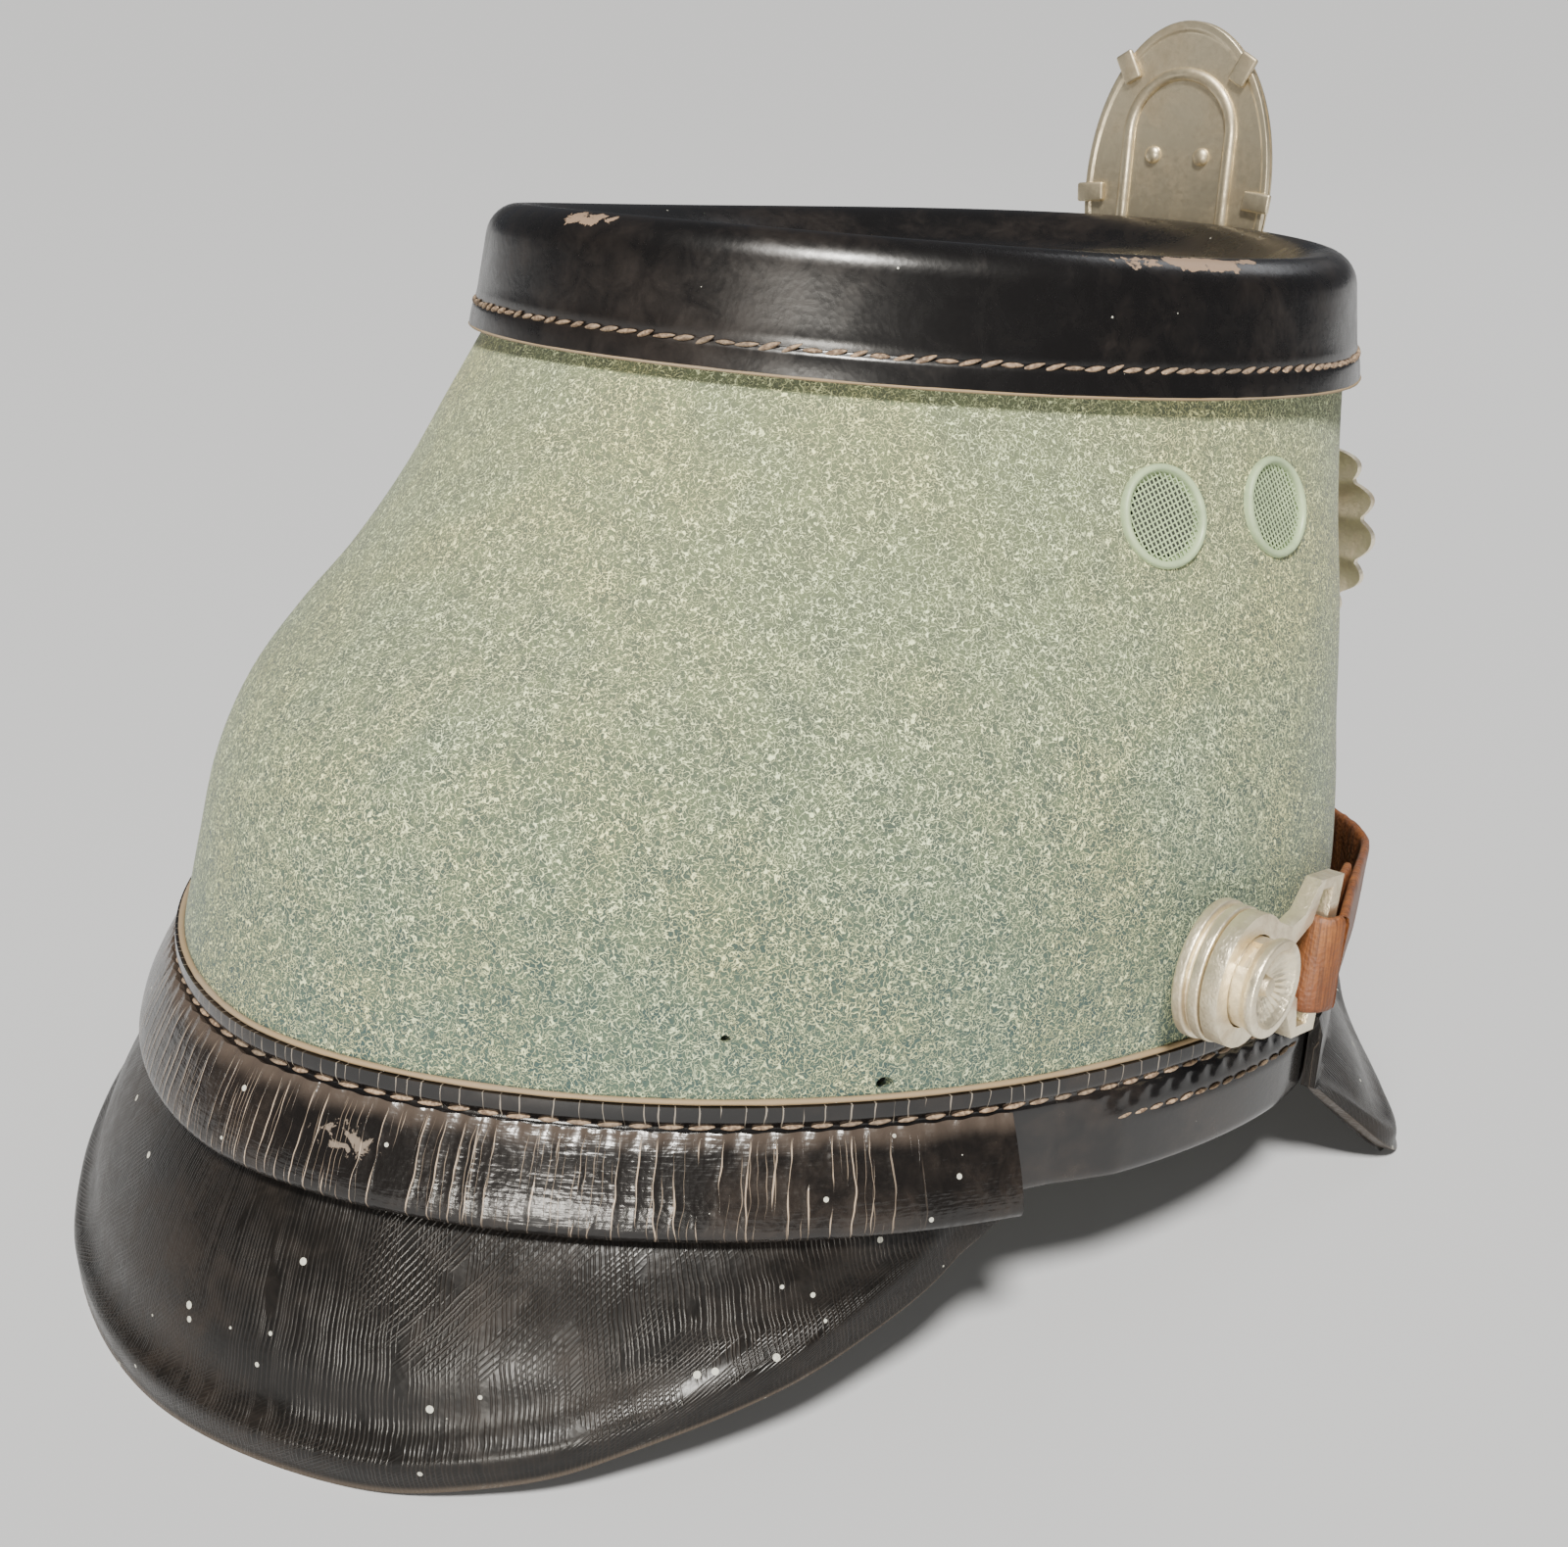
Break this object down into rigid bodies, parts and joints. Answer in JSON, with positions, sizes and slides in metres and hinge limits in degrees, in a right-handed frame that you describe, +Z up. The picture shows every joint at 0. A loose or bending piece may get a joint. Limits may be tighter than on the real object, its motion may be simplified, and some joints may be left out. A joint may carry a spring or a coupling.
{
  "type": "shako hat",
  "caption": "Tall stiff uniform hat of grey-green felt with a leather crown, front and rear peaks, side vents, a chin strap on metal lugs, a badge and a cockade.",
  "frame": {"origin": "on the table, under the middle of the hat's box, as the hat stands on the rims of its two peaks", "axes": "+Z up; the front peak, badge and cockade look towards -Y and the rear peak towards +Y; the wearer's right is -X"},
  "size_m": [0.2086, 0.2628, 0.1736],
  "materials": {
    "felt": "matt mottled wool felt",
    "crown_leather": "semi-gloss lacquered leather",
    "band_leather": "glossy cracked lacquered leather",
    "peak_leather": "worn semi-gloss leather",
    "green_paint": "satin paint",
    "gauze": "painted wire gauze",
    "alloy": "satin, slightly warm",
    "aged_silver": "aged silver plate",
    "strap_leather": "dry worn leather"
  },
  "bodies": {
    "root": {"shell": "felt", "crown_cap": "crown_leather", "base_band": "band_leather", "rear_band": "band_leather", "rear_peak": "peak_leather", "front_peak": "peak_leather", "vent_rim_R1": "green_paint", "vent_rim_R2": "green_paint", "vent_rim_L1": "green_paint", "vent_rim_L2": "green_paint", "vent_gauze_R1": "gauze", "vent_gauze_R2": "gauze", "vent_gauze_L1": "gauze", "vent_gauze_L2": "gauze", "lug_base_R": "alloy", "lug_base_L": "alloy", "lug_post_R": "alloy", "lug_post_L": "alloy", "strap_bracket_R": "alloy", "strap_bracket_L": "alloy", "chin_strap": "strap_leather", "cockade_plate": "aged_silver", "cockade_shield": "aged_silver", "front_badge": "alloy"}
  },
  "joints": []
}
